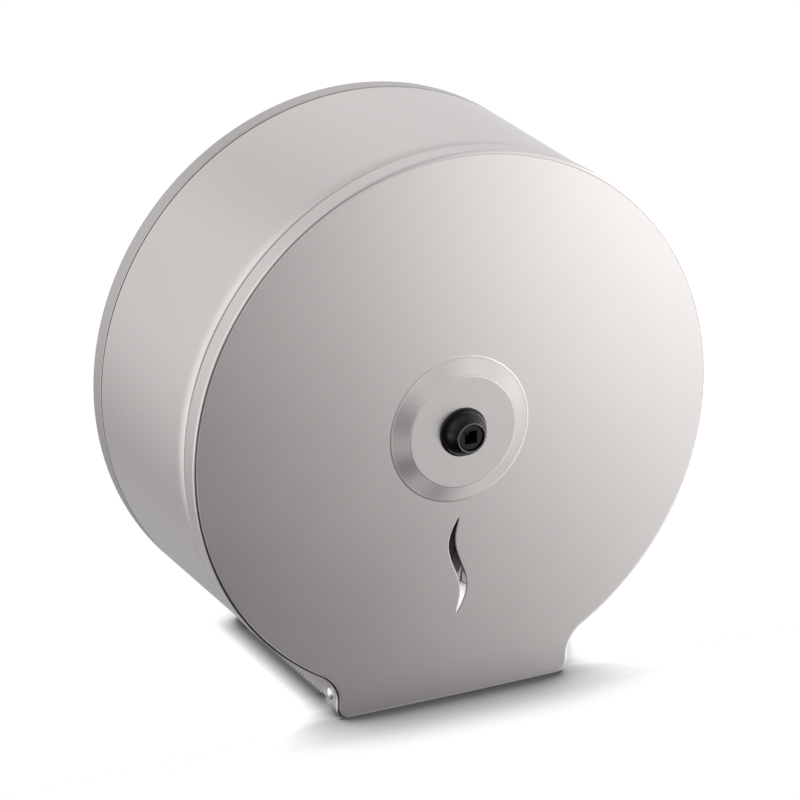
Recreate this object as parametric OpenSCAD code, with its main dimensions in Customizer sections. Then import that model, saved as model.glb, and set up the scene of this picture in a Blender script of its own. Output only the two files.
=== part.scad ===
// Jumbo toilet roll dispenser: a drum of satin stainless sheet that hangs on a wall.
// A dished front cover hinges down on two rivets in its apron, and a square-key lock
// in the cover's centre holds it to the fixed spindle that carries the roll.
//
// Millimetres. +X is right, +Y points into the wall, +Z is up. The origin lies on the
// wall face at the centre of the four wall holes, which is also the drum's axis.

/* [Sheet metal] */
// Thickness of the stainless sheet
sheet_t = 1; // [0.8:0.1:1.2]
// Radius of the bend between a face and its rim
bend_r = 2; // [1.5:0.1:3]

/* [Drum] */
// Outer diameter of the side wall
drum_d = 268.4; // [262:0.2:280]
// Distance from the wall to the flat edge of the cover's face
body_depth = 118; // [114:1:130]
// How far the mouth runs on inside the cover's rim
mouth_length = 7; // [5:0.5:8]
// Length over which the wall curls in to the mouth
curl_length = 9; // [6:0.5:12]
// Gap between the mouth and the inside of the cover's rim
mouth_gap = 1; // [0.8:0.1:1.3]

/* [Outlet neck] */
// Width of the apron below the disc
apron_w = 124; // [122:0.5:128]
// How far the apron hangs below the disc's edge
apron_below = 4.3; // [4:0.1:6]
// Radius of the fillet between the disc and the apron
apron_fillet_r = 17; // [16:0.5:19]
// Radius of the apron's bottom corners
apron_corner_r = 6; // [5:0.5:7]
// Height of the neck's tearing edge above the apron's bottom edge
neck_lift = 6.3; // [6.2:0.1:7.5]
// Depth of the teeth in the tearing edge
tooth_h = 1.5; // [1:0.1:2]
// Distance from one tooth to the next
tooth_pitch = 3; // [2.5:0.5:5]
// Gap between the neck's sides and the insides of the apron
neck_gap = 0.5; // [0.4:0.1:0.7]

/* [Cover] */
// How far the cover's rim stands proud of the drum
cover_proud = 0.8; // [0.6:0.1:1.2]
// Depth of the cover's rim
cover_rim = 11; // [10:0.5:12]
// Rise of the domed face at its centre
dome_rise = 3.2; // [2:0.1:4.5]
// Depth of the hem along the apron's bottom edge
hem_depth = 2; // [1.6:0.1:2.2]
// Radius of the raised boss at its foot
boss_foot_r = 36.2; // [33:0.1:40]
// Radius of the boss's flat top
boss_top_r = 27.1; // [22:0.1:29]
// Height of the boss's top above the edge of the face
boss_rise = 6.8; // [5.5:0.1:8]

/* [Level slot] */
// Height of the S-shaped slot that shows how much paper is left
slot_length = 49; // [40:0.5:60]
// Width of the slot at its middle
slot_w = 4.2; // [3:0.1:6]
// Sideways sway of the slot's centre line
slot_sway = 3.2; // [1:0.1:5]
// Depth of the slot's top tip below the drum's axis
slot_drop = 45.3; // [42:0.1:60]

/* [Back plate] */
// Depth of the back plate's rim
back_rim = 10; // [8:0.5:14]
// Radius of the raised pad that carries the spindle
pad_r = 42; // [38:0.5:50]
// Height of the raised pad
pad_rise = 4; // [3.4:0.1:5]
// Width of the pad's sloping edge
pad_slope = 6; // [4:0.5:9]
// Distance between the wall holes, side to side
wall_hole_x = 150; // [130:5:160]
// Distance between the wall holes, top to bottom
wall_hole_z = 150; // [130:5:160]
// Diameter of the wall holes
wall_hole_d = 6.5; // [5:0.5:8]

/* [Spindle] */
// Outer diameter of the fixed tube
tube_d = 36; // [34:0.5:38]
// Wall thickness of the tube
tube_t = 1.5; // [1:0.1:2]
// Space between the tube's nose and the edge of the cover's face
tube_setback = 12; // [11.5:0.5:14]
// Diameter of the flange that is riveted to the pad
flange_d = 64; // [62:1:70]
// Thickness of the flange
flange_t = 2; // [1.5:0.1:3]
// Diameter of the circle that the flange's rivets lie on
rivet_circle_d = 50; // [48:1:52]
// Number of rivets in the flange
rivet_count = 4; // [3:1:6]
// Shank diameter of the flange's rivets
rivet_d = 4; // [3:0.1:5]
// Head diameter of the flange's rivets
rivet_head_d = 7.2; // [6.2:0.1:8]
// Head height of the flange's rivets
rivet_head_h = 1.4; // [1:0.1:1.8]
// Diameter of the flange's rivets where they are set behind the pad
rivet_set_d = 6.2; // [5:0.1:7]

/* [Roll hub] */
// Outer diameter of the turning hub, which the roll's core sits on
hub_d = 44; // [42:0.5:46]
// Diameter of the hub's rear flange
hub_flange_d = 60; // [52:1:70]
// Thickness of the hub's rear flange
hub_flange_t = 2; // [1.5:0.1:3]
// Length of the bearing land at each end of the hub's bore
hub_land = 12; // [8:1:20]
// Thickness of the hub's wall between the lands
hub_wall = 2.4; // [1.8:0.1:3]
// Length of the spacer behind the hub
spacer_length = 3; // [2.5:0.1:4]
// Thickness of the thrust washer in front of the hub
washer_t = 1.2; // [0.8:0.1:1.6]
// Thickness of the spring clip that holds the hub on
clip_t = 1; // [0.8:0.1:1.2]
// Depth of the clip's groove in the tube
clip_groove = 0.5; // [0.3:0.1:0.7]
// Outer diameter of the clip
clip_d = 42; // [40:0.5:42]
// Length of the tube in front of the clip
tube_nose = 5.4; // [4:0.1:8]
// Width of the clip's opening
clip_opening = 11; // [8:0.5:14]

/* [Lock] */
// Diameter of the lock's base flange
lock_base_d = 24.1; // [22:0.1:28]
// Diameter of the lock's nose
lock_nose_d = 14.7; // [14:0.1:17]
// Height of the lock above the boss
lock_height = 8.7; // [7:0.1:11]
// Thickness of the lock's base flange
lock_base_t = 1; // [0.6:0.1:1.6]
// Diameter of the cone where it leaves the base flange
lock_cone_d = 22.3; // [18:0.1:22.8]
// Width of the ring round the nose
lock_ring_w = 0.7; // [0.5:0.1:1]
// Diameter of the lock's threaded body
lock_body_d = 16.8; // [16.6:0.1:18]
// Diameter of the turning plug
plug_d = 12.4; // [12:0.1:13]
// Recess of the plug's face in the nose
plug_recess = 1; // [0.5:0.1:1.5]
// Width of the square key socket
socket_w = 6.3; // [5:0.1:6.6]
// Depth of the key socket
socket_depth = 7; // [6:0.5:7]
// Diameter of the coding pin at the socket's corner
coding_pin_d = 2.5; // [1.5:0.1:2.6]
// Distance of the coding pin's centre in from the socket's sides
coding_pin_inset = 0.6; // [0.3:0.1:1]
// Depth of the dimple in the coding pin's end
coding_dimple = 1; // [0.5:0.1:2]
// Space between the lock's body and the keeper
lock_body_gap = 1.5; // [1:0.1:2]
// Width across the flats of the lock's nut
nut_w = 22; // [20:0.5:26]
// Thickness of the lock's nut
nut_t = 4; // [3:0.5:5]
// Thickness of the washer under the nut
lock_washer_t = 1; // [0.6:0.1:1.4]
// Diameter of the washer under the nut
lock_washer_d = 24; // [22:0.5:28]

/* [Cam and keeper] */
// Length of the cam bar
cam_length = 26; // [22:0.5:27]
// Width of the cam bar
cam_w = 6.4; // [6.4:0.1:7]
// Thickness of the cam bar
cam_t = 2; // [1.5:0.1:3]
// Diameter of the plug's tail, which carries the cam
tail_d = 5; // [4.4:0.1:5.6]
// Diameter of the cam screw's shank
cam_screw_d = 3; // [2:0.1:3.2]
// Diameter of the cam screw's head
cam_screw_head_d = 6.2; // [5:0.1:7]
// Height of the cam screw's head
cam_screw_head_h = 1.8; // [1:0.1:2.5]
// Thickness of the slotted keeper in the tube's nose
keeper_t = 2; // [1.5:0.1:3]
// Space between the keeper and the cam
cam_play = 1; // [0.6:0.1:1.6]

/* [Hinge] */
// Height of the hinge axis above the apron's bottom edge
hinge_rise = 11.3; // [11:0.1:12]
// Distance of the hinge axis behind the edge of the face
hinge_setback = 9; // [9:0.1:9.4]
// Shank diameter of the hinge rivets
hinge_pin_d = 4; // [3:0.1:4.4]
// Head diameter of the hinge rivets
hinge_head_d = 6.8; // [6:0.1:8]
// Height of the hinge rivets' domed heads
hinge_head_h = 1.4; // [1:0.1:2]
// Diameter of the hinge washers
hinge_washer_d = 6.2; // [5.4:0.1:7]
// Gap at the hinge between the neck's mouth and the ears
hinge_gap = 0.8; // [0.7:0.1:1]
// Diameter of the hinge rivets where they are set inside the neck
hinge_set_d = 6; // [5:0.1:7]
// Height of the hinge rivets' set heads
hinge_set_h = 0.7; // [0.5:0.1:1.2]
// Thickness of the plates that stiffen the neck at the hinge
hinge_plate_t = 1.5; // [1:0.1:2.5]
// Height of the plates that stiffen the neck at the hinge
hinge_plate_h = 10; // [8:0.5:10]
// Radius of the ears round the hinge rivets
ear_r = 4.5; // [4.2:0.1:5]

/* [Clearances] */
// Radial clearance of a part that turns on or in another
running_gap = 0.05; // [0.03:0.01:0.08]
// Clearance round the hinge's heads, washers and ears in the flats pressed for them
seat_gap = 0.2; // [0.1:0.05:0.3]
// Play left along an axis between parts that turn against each other
end_play = 0.2; // [0.1:0.05:0.3]
// Clearance round the cam bar in the keeper's slot
slot_gap = 2.2; // [1.6:0.1:2.5]

/* [Hidden] */
$fn = 96;
// Segments of a full turn on the drum, the cover and the back plate
big_fn = 192;
// Cuts run this far past the solid that they cut
past = 1;

// Radii of the drum and the cover
drum_r = drum_d / 2;
cover_r = drum_r + cover_proud;
mouth_r = cover_r - sheet_t - mouth_gap;
spigot_r = drum_r - sheet_t;

// Half widths of the apron and of the neck behind it
apron_half = apron_w / 2;
neck_half = apron_half - sheet_t - neck_gap;
mouth_half = apron_half - sheet_t - hinge_gap;
spigot_half = neck_half - sheet_t;

// Heights below the drum's axis
apron_drop = cover_r + apron_below;
neck_drop = apron_drop - neck_lift;
hinge_drop = apron_drop - hinge_rise;

// Direction, from straight down, in which every outline leaves its circle for the neck
neck_angle = asin((apron_half + apron_fillet_r) / (cover_r + apron_fillet_r));

// Distances out from the wall
rim_back = body_depth - cover_rim;
mouth_front = rim_back + mouth_length;
curl_start = rim_back - curl_length;
hinge_out = body_depth - hinge_setback;
pad_out = pad_rise + sheet_t;
flange_out = pad_out + flange_t;
tube_front = body_depth - tube_setback;
clip_back = tube_front - tube_nose - clip_t;
washer_back = clip_back - washer_t;
hub_front = washer_back - end_play;
hub_back = flange_out + spacer_length + end_play;
hub_length = hub_front - hub_back;
keeper_back = tube_front - keeper_t;
cam_front = keeper_back - cam_play;
cam_back = cam_front - cam_t;
boss_out = body_depth + boss_rise;
nose_out = boss_out + lock_height;
plug_out = nose_out - plug_recess;
body_back = tube_front + lock_body_gap;

// Radii at the spindle
tube_r = tube_d / 2;
tube_inner_r = tube_r - tube_t;
hub_bore_r = tube_r + running_gap;
hub_r = hub_d / 2;

// Radii at the lock
plug_r = plug_d / 2;
plug_bore_r = plug_r + running_gap;
lock_hole_r = lock_body_d / 2 + running_gap;

// Radii at the hinge
hinge_pin_r = hinge_pin_d / 2;
hinge_bore_r = hinge_pin_r + running_gap;

// Radius of an outline's neck fillet, which keeps all outlines leaving at neck_angle
function fillet_r(r, half) = (r * sin(neck_angle) - half) / (1 - sin(neck_angle));

// Points of an arc, from angle a to angle b, in n steps
function arc(x, y, r, a, b, n) =
    [for (i = [0:n]) [x + r * cos(a + (b - a) * i / n), y + r * sin(a + (b - a) * i / n)]];

// A smooth step from 0 to 1
function ease(t) = (1 - cos(180 * t)) / 2;

// Turns a front view that grows along Z into one that grows out from the wall
module out_from_wall(out = 0) {
    rotate([90, 0, 0]) translate([0, 0, out]) children();
}

// A flat front view made into a slab whose back lies at out
module slab(out, thickness) {
    out_from_wall(out) linear_extrude(thickness) children();
}

// A profile of radius and distance from the wall, turned round the drum's axis
module turned(facets = big_fn) {
    out_from_wall() rotate_extrude($fn = facets) children();
}

// A ring or washer round the drum's axis
module ring(out, thickness, outer, inner) {
    slab(out, thickness) difference() {
        circle(outer);
        circle(inner);
    }
}

// A bar along X at the hinge axis, from x on side s
module hinge_bar(s, x, length, r) {
    translate([s * x, -hinge_out, -hinge_drop])
        rotate([0, s * 90, 0]) cylinder(h = length, r = r);
}

// ---- Keyhole outline: a circle with a filleted neck below it ----

// The neck alone, down to drop, with rounded bottom corners
module neck_outline(r, half, drop, corner) {
    f = fillet_r(r, half);
    x = (r + f) * sin(neck_angle);
    z = (r + f) * cos(neck_angle);
    k = r / (r + f);
    difference() {
        polygon([[0, 0], [k * x, -k * z], [x, -z], [half, -z], [half, corner - drop],
                 [-half, corner - drop], [-half, -z], [-x, -z], [-k * x, -k * z]]);
        for (s = [-1, 1]) translate([s * x, -z]) circle(f);
    }
    if (corner > 0) {
        for (s = [-1, 1]) translate([s * (half - corner), corner - drop]) circle(corner);
        translate([corner - half, -drop]) square([2 * (half - corner), corner + past]);
    }
}

// The whole keyhole, cut off level at drop
module keyhole(r, half, drop, corner = 0) {
    difference() {
        union() {
            circle(r, $fn = big_fn);
            neck_outline(r, half, drop, corner);
        }
        translate([-r, -drop - r]) square([2 * r, r]);
    }
}

// The sector between the points where the neck leaves the circle
module neck_sector() {
    reach = 2 * cover_r;
    polygon([[0, 0], [reach * sin(neck_angle), -reach * cos(neck_angle)],
             [-reach * sin(neck_angle), -reach * cos(neck_angle)]]);
}

// The sheet that follows the keyhole inside the neck's sector, open at the bottom
module neck_sheet(r, half, drop) {
    intersection() {
        neck_sector();
        difference() {
            keyhole(r, half, drop);
            keyhole(r - sheet_t, half - sheet_t, apron_drop + past);
        }
    }
}

// ---- Housing ----

// A pan: a keyhole plate with a rim, a raised pad for the spindle and the holes
module back_plate() {
    flat_r = drum_r - bend_r - past;
    color("gainsboro") difference() {
        union() {
            difference() {
                turned() back_plate_profile();
                slab(sheet_t, back_rim) difference() {
                    neck_sector();
                    circle(flat_r);
                }
            }
            slab(0, sheet_t) difference() {
                intersection() {
                    neck_sector();
                    keyhole(drum_r, neck_half, neck_drop);
                }
                circle(flat_r, $fn = big_fn);
            }
            slab(0, back_rim) neck_sheet(drum_r, neck_half, neck_drop);
        }
        for (sx = [-1, 1], sz = [-1, 1])
            slab(-past, sheet_t + 2 * past)
                translate([sx * wall_hole_x / 2, sz * wall_hole_z / 2]) circle(d = wall_hole_d);
        at_rivets() slab(-past, flange_out) circle(d = rivet_d);
    }
}

module back_plate_profile() {
    foot_r = pad_r + pad_slope;
    corner_in = drum_r - bend_r;
    steps = 6;
    polygon(concat(
        [[0, pad_rise], [pad_r, pad_rise], [foot_r, 0]],
        arc(corner_in, bend_r, bend_r, -90, 0, steps),
        [[drum_r, back_rim], [drum_r - sheet_t, back_rim]],
        arc(corner_in, bend_r, bend_r - sheet_t, 0, -90, steps),
        [[foot_r, sheet_t], [pad_r, pad_out], [0, pad_out]]));
}

// Places its child at each rivet of the spindle's flange
module at_rivets() {
    for (i = [0:rivet_count - 1]) {
        a = 45 + 360 * i / rivet_count;
        translate([rivet_circle_d / 2 * cos(a), 0, rivet_circle_d / 2 * sin(a)]) children();
    }
}

// One strip bent round the drum and down both sides of the neck. Its back end is joggled
// to fit inside the back plate's rim, and its front curls in to the cover's mouth.
module drum_wall() {
    curl_steps = 5;
    joggle = back_rim + sheet_t;
    color("lightgray") difference() {
        union() {
            keyhole_band(bend_r, back_rim, spigot_r, spigot_half, sheet_t);
            keyhole_band(back_rim, joggle, drum_r, neck_half, 2 * sheet_t);
            keyhole_band(joggle, curl_start, drum_r, neck_half, sheet_t);
            for (i = [1:curl_steps]) {
                t = pow(i / curl_steps, 2);
                keyhole_band(curl_start + curl_length * (i - 1) / curl_steps,
                             curl_start + curl_length * i / curl_steps,
                             drum_r + (mouth_r - drum_r) * t,
                             neck_half + (mouth_half - neck_half) * t, sheet_t);
            }
            keyhole_band(rim_back, mouth_front, mouth_r, mouth_half, sheet_t);
        }
        below_teeth();
        for (s = [-1, 1]) {
            hinge_bar(s, mouth_half - sheet_t - past, sheet_t + 2 * past, hinge_bore_r);
            hinge_bar(s, mouth_half, hinge_gap + sheet_t, hinge_washer_d / 2 + seat_gap);
            hinge_bar(s, apron_half - sheet_t - seat_gap, sheet_t, ear_r + seat_gap);
        }
    }
}

// A band of the strip between two distances from the wall, open at the bottom
module keyhole_band(back, front, r, half, wall) {
    slab(back, front - back) difference() {
        keyhole(r, half, neck_drop);
        keyhole(r - wall, half - wall, apron_drop + past);
    }
}

// All that lies below the saw-toothed bottom edges of the neck
module below_teeth() {
    first = back_rim + 2 * tooth_pitch;
    count = floor((curl_start - first) / tooth_pitch);
    saw = [for (i = [0:count - 1], end = [0, 1])
        [first + (i + end / 2) * tooth_pitch, -neck_drop + end * tooth_h]];
    rotate([90, 0, -90]) linear_extrude(apron_w + 2 * past, center = true)
        polygon(concat(saw, [[first + count * tooth_pitch, -neck_drop],
                             [first + count * tooth_pitch, -neck_drop - past],
                             [first, -neck_drop - past]]));
}

// A plate inside the neck that the hinge rivet turns in
module hinge_plate(s) {
    middle = mouth_half - sheet_t - hinge_plate_t / 2;
    color("silver") difference() {
        translate([s * middle, -(rim_back + mouth_front) / 2, -hinge_drop])
            cube([hinge_plate_t, mouth_length, hinge_plate_h], center = true);
        hinge_bar(s, middle - hinge_plate_t, 2 * hinge_plate_t, hinge_bore_r);
    }
}

module left_hinge_plate() { hinge_plate(-1); }
module right_hinge_plate() { hinge_plate(1); }

// The flange that carries the tube on the pad
module spindle_flange() {
    color("silver") difference() {
        ring(pad_out, flange_t, flange_d / 2, tube_r);
        at_rivets() slab(pad_out - past, flange_t + 2 * past) circle(d = rivet_d);
    }
}

// Rivets through the pad and the flange
module spindle_rivets() {
    color("gray") at_rivets() {
        slab(pad_rise, sheet_t + flange_t) circle(d = rivet_d);
        slab(flange_out, rivet_head_h) circle(d = rivet_head_d);
        slab(pad_rise - rivet_head_h, rivet_head_h) circle(d = rivet_set_d);
    }
}

// The fixed tube, with a groove for the clip near its nose
module spindle_tube() {
    color("silver") difference() {
        ring(pad_out, tube_front - pad_out, tube_r, tube_inner_r);
        ring(clip_back, clip_t, tube_r + past, tube_r - clip_groove);
    }
}

// The slotted disc in the tube's nose that the cam turns behind
module lock_keeper() {
    color("dimgray") slab(keeper_back, keeper_t) difference() {
        circle(tube_inner_r);
        square([cam_length + slot_gap, cam_w + 2 * slot_gap], center = true);
    }
}

// ---- Roll hub and what holds it ----

module hub_spacer() {
    color("whitesmoke") ring(flange_out, spacer_length, tube_r + hub_wall, tube_r);
}

module hub_washer() {
    color("whitesmoke") ring(washer_back, washer_t, hub_r, tube_r);
}

// A spring clip, open at one side
module hub_clip() {
    color("dimgray") slab(clip_back, clip_t) difference() {
        circle(d = clip_d);
        circle(tube_r - clip_groove);
        translate([0, -clip_d / 2]) square([clip_opening, clip_d], center = true);
    }
}

// A moulded sleeve that runs on the tube on a land at each end
module roll_hub() {
    relief_r = hub_r - hub_wall;
    color("dimgray") turned($fn) difference() {
        union() {
            translate([hub_bore_r, hub_back]) square([hub_r - hub_bore_r, hub_length]);
            translate([hub_bore_r, hub_back]) square([hub_flange_d / 2 - hub_bore_r, hub_flange_t]);
        }
        translate([0, hub_back + hub_land]) square([relief_r, hub_length - 2 * hub_land]);
    }
}

// ---- Cover ----

// Distance from the wall to the outer face of the disc, at radius r
function dome(r) = body_depth + dome_rise * (1 - pow(r / (cover_r - bend_r), 2));
function face(r) =
    r <= boss_top_r ? boss_out :
    r >= boss_foot_r ? dome(r) :
    boss_out + (dome(boss_foot_r) - boss_out) * ease((r - boss_top_r) / (boss_foot_r - boss_top_r));

// The dished disc, from the lock's hole to the rim's back edge
module cover_profile() {
    boss_steps = 8;
    dome_steps = 14;
    bend_steps = 6;
    edge = cover_r - bend_r;
    radii = concat(
        [lock_hole_r],
        [for (i = [0:boss_steps]) boss_top_r + (boss_foot_r - boss_top_r) * i / boss_steps],
        [for (i = [1:dome_steps - 1]) boss_foot_r + (edge - boss_foot_r) * i / dome_steps]);
    outer = [for (r = radii) [r, face(r)]];
    inner = [for (i = [len(radii) - 1:-1:0]) outer[i] - [0, sheet_t]];
    polygon(concat(
        outer,
        arc(edge, body_depth - bend_r, bend_r, 90, 0, bend_steps),
        [[cover_r, rim_back], [cover_r - sheet_t, rim_back]],
        arc(edge, body_depth - bend_r, bend_r - sheet_t, 0, 90, bend_steps),
        inner));
}

// The flat apron below the disc, with side flanges and a shallow hem
module apron() {
    flange_end = apron_drop - apron_corner_r;
    difference() {
        slab(rim_back, cover_rim) difference() {
            intersection() {
                neck_sector();
                keyhole(cover_r, apron_half, apron_drop, apron_corner_r);
            }
            circle(cover_r - bend_r, $fn = big_fn);
        }
        slab(rim_back - past, cover_rim - hem_depth + past)
            translate([-apron_w, -flange_end - apron_w]) square([2 * apron_w, apron_w]);
    }
}

// One domed sheet with its rim, apron, ears, level slot and holes
module cover_shell() {
    color("silver") difference() {
        union() {
            turned() cover_profile();
            apron();
            for (s = [-1, 1]) hinge_bar(s, apron_half - sheet_t, sheet_t, ear_r);
        }
        slab(rim_back - past, cover_rim - sheet_t + past) intersection() {
            neck_sector();
            keyhole(cover_r - sheet_t, apron_half - sheet_t, apron_drop - sheet_t,
                    apron_corner_r - sheet_t);
        }
        slab(body_depth - 2 * sheet_t, boss_rise + 2 * sheet_t) level_slot();
        for (s = [-1, 1]) {
            hinge_bar(s, apron_half - sheet_t - past, sheet_t + 2 * past, hinge_pin_r);
            hinge_bar(s, apron_half, hinge_head_h + past, hinge_head_d / 2 + seat_gap);
        }
    }
}

// The slot's outline: a sine sway whose width falls to a point at each end
module level_slot() {
    steps = 28;
    middle = [for (i = [0:steps]) [-slot_sway * sin(360 * i / steps),
                                   -slot_drop - slot_length * i / steps]];
    half = [for (i = [0:steps]) slot_w / 2 * pow(sin(180 * i / steps), 0.7)];
    left = [for (i = [0:steps]) middle[i] - [half[i], 0]];
    right = [for (i = [steps - 1:-1:1]) middle[i] + [half[i], 0]];
    polygon(concat(left, right));
}

// A rivet with a domed head outside the ear and a set head inside the plate
module hinge_rivet(s) {
    inner = mouth_half - sheet_t - hinge_plate_t - end_play / 2;
    head_r = hinge_head_d / 2;
    sphere_r = (head_r * head_r + hinge_head_h * hinge_head_h) / (2 * hinge_head_h);
    steps = 8;
    tip = asin(head_r / sphere_r);
    color("white") translate([s * apron_half, -hinge_out, -hinge_drop]) rotate([0, s * 90, 0]) {
        rotate_extrude() polygon(concat(
            [[0, 0], [head_r, 0]],
            arc(0, hinge_head_h - sphere_r, sphere_r, 90 - tip, 90, steps)));
    }
    color("white") hinge_bar(s, inner, apron_half - inner, hinge_pin_r);
    color("white") hinge_bar(s, inner - hinge_set_h, hinge_set_h, hinge_set_d / 2);
}

module left_hinge_rivet() { hinge_rivet(-1); }
module right_hinge_rivet() { hinge_rivet(1); }

// A thin washer that keeps the ear off the neck
module hinge_washer(s) {
    inner = mouth_half + end_play / 2;
    color("whitesmoke") difference() {
        hinge_bar(s, inner, hinge_gap - end_play, hinge_washer_d / 2);
        hinge_bar(s, inner - past, hinge_gap + 2 * past, hinge_pin_r);
    }
}

module left_hinge_washer() { hinge_washer(-1); }
module right_hinge_washer() { hinge_washer(1); }

// ---- Lock ----

// The black housing: a threaded body with a flange and a rounded cone up to the nose
module lock_housing() {
    nose_r = lock_nose_d / 2;
    ring_r = nose_r - lock_ring_w;
    steps = 8;
    cone_h = lock_height - lock_base_t;
    cone = [for (i = [0:steps])
        [nose_r + (lock_cone_d / 2 - nose_r) * cos(90 * i / steps),
         boss_out + lock_base_t + cone_h * i / steps]];
    color("black") turned($fn) polygon(concat(
        [[plug_bore_r, body_back], [lock_body_d / 2, body_back], [lock_body_d / 2, boss_out],
         [lock_base_d / 2, boss_out], [lock_base_d / 2, boss_out + lock_base_t]],
        cone,
        [[ring_r, nose_out], [ring_r, plug_out], [plug_bore_r, plug_out]]));
}

module lock_washer() {
    color("gray") ring(boss_out - sheet_t - lock_washer_t, lock_washer_t, lock_washer_d / 2,
                       lock_body_d / 2);
}

// The hexagon nut behind the cover
module lock_nut() {
    color("gray") slab(boss_out - sheet_t - lock_washer_t - nut_t, nut_t) difference() {
        circle(r = nut_w / 2 / cos(30), $fn = 6);
        circle(d = lock_body_d);
    }
}

// Centre of the coding pin, at the upper left corner of the key socket
module at_coding_pin() {
    corner = socket_w / 2 - coding_pin_inset;
    translate([-corner, 0, corner]) children();
}

// The plug that the key turns, with its tail behind
module lock_plug() {
    shoulder = body_back + end_play;
    color("black") difference() {
        union() {
            slab(shoulder, plug_out - shoulder) circle(plug_r);
            slab(cam_back, shoulder - cam_back) circle(d = tail_d);
        }
        slab(plug_out - socket_depth, socket_depth + past) square(socket_w, center = true);
        at_coding_pin() slab(plug_out - socket_depth, socket_depth + past) circle(d = coding_pin_d);
        slab(cam_back - past, cam_t + keeper_t + past) circle(d = cam_screw_d);
    }
}

// A pin with a dimpled end, which only a key with the matching notch passes
module coding_pin() {
    color("dimgray") at_coding_pin() difference() {
        slab(plug_out - socket_depth, socket_depth) circle(d = coding_pin_d);
        slab(plug_out - coding_dimple, coding_dimple + past) circle(d = coding_pin_d / 2);
    }
}

// The bar that passes the keeper's slot level and locks when it stands upright
module lock_cam() {
    color("gray") slab(cam_back, cam_t) difference() {
        square([cam_length, cam_w], center = true);
        circle(d = tail_d);
    }
}

// The screw that holds the cam on the tail
module cam_screw() {
    color("silver") slab(cam_back, cam_t + keeper_t) circle(d = cam_screw_d);
    color("silver") slab(cam_back - cam_screw_head_h, cam_screw_head_h) circle(d = cam_screw_head_d);
}

back_plate();
drum_wall();
left_hinge_plate();
right_hinge_plate();
spindle_flange();
spindle_rivets();
spindle_tube();
lock_keeper();
hub_spacer();
hub_washer();
hub_clip();
roll_hub();
cover_shell();
left_hinge_rivet();
right_hinge_rivet();
left_hinge_washer();
right_hinge_washer();
lock_housing();
lock_washer();
lock_nut();
lock_plug();
coding_pin();
lock_cam();
cam_screw();
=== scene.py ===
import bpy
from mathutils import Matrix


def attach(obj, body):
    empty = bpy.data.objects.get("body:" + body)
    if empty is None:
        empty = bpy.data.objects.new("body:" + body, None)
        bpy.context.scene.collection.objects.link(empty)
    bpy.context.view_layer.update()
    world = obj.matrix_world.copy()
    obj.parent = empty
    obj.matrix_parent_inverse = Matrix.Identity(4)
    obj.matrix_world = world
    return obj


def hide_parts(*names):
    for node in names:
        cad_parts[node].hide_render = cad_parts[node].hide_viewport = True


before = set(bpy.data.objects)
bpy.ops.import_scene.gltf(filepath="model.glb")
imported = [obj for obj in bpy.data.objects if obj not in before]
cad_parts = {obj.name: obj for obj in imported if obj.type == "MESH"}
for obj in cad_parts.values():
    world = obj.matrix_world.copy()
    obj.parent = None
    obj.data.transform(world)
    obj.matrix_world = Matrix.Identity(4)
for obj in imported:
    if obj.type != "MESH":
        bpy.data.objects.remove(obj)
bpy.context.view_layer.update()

import math

import bmesh
import bpy
import numpy as np
from mathutils import Vector, geometry

# ---- Back plate ----
# A pan pressed from one satin stainless sheet, with a turned-up rim, a raised pad for
# the spindle and four screw holes. Points are (x, out, z) in millimetres, out from the wall.

MM = 0.001
SHEET = 1.0
DRUM_R, NECK_HALF, NECK_DROP = 134.2, 60.5, 133.0
NECK_ANGLE = math.asin(79.0 / 152.0)
BACK_RIM = 10.0
PAD_R, PAD_SLOPE, PAD_RISE = 42.0, 6.0, 4.0
PAN_BEND, RIM_TUCK = 2.0, 0.25
HOLE_AT, HOLE_R, HOLE_EASE, HOLE_SINK, HOLE_FACETS = 75, 3.25, 0.5, 0.35, 32


def arc(cx, cz, r, a, b, n, outward=1):
    """Points (x, z, nx, nz) of an arc in degrees, its end left out."""
    row = []
    for i in range(n):
        t = math.radians(a + (b - a) * i / n)
        c, s = math.cos(t), math.sin(t)
        row.append((cx + r * c, cz + r * s, outward * c, outward * s))
    return row


def keyhole(r, half, drop, corner=None):
    """The keyhole outline as (x, z, nx, nz), from the right foot over the top to the left.

    With a corner radius it goes on round the bottom, and closes."""
    lean = math.degrees(NECK_ANGLE)
    f = (r * math.sin(NECK_ANGLE) - half) / (1 - math.sin(NECK_ANGLE))
    xf, zf = (r + f) * math.sin(NECK_ANGLE), -(r + f) * math.cos(NECK_ANGLE)
    foot = -(drop - (corner or 0.0))
    side = [foot + (zf - foot) * i / 6 for i in range(6)]
    row = [(half, z, 1.0, 0.0) for z in side]
    row += arc(xf, zf, f, 180, 90 + lean, 24, outward=-1)
    row += arc(0, 0, r, lean - 90, 270 - lean, 264)
    row += arc(-xf, zf, f, 90 - lean, 0, 24, outward=-1)
    row += [(-half, z, -1.0, 0.0) for z in [zf] + side[:0:-1]]
    if corner is None:
        return row + [(-half, foot, -1.0, 0.0)]
    row += arc(corner - half, foot, corner, 180, 270, 10)
    row += [(x, -drop, 0.0, -1.0) for x in np.linspace(corner - half, half - corner, 40)[:-1]]
    return row + arc(half - corner, foot, corner, 270, 360, 10)


def ramp(t, start, end):
    """A pressed flank from 0 to 1: straight, with a soft bend at its start and end."""
    t = min(max(t, 0.0), 1.0)
    steep = 1 / (1 - (start + end) / 2)
    if t < start:
        return steep * t * t / (2 * start)
    if t > 1 - end:
        return 1 - steep * (1 - t) ** 2 / (2 * end)
    return steep * (t - start / 2)


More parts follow.
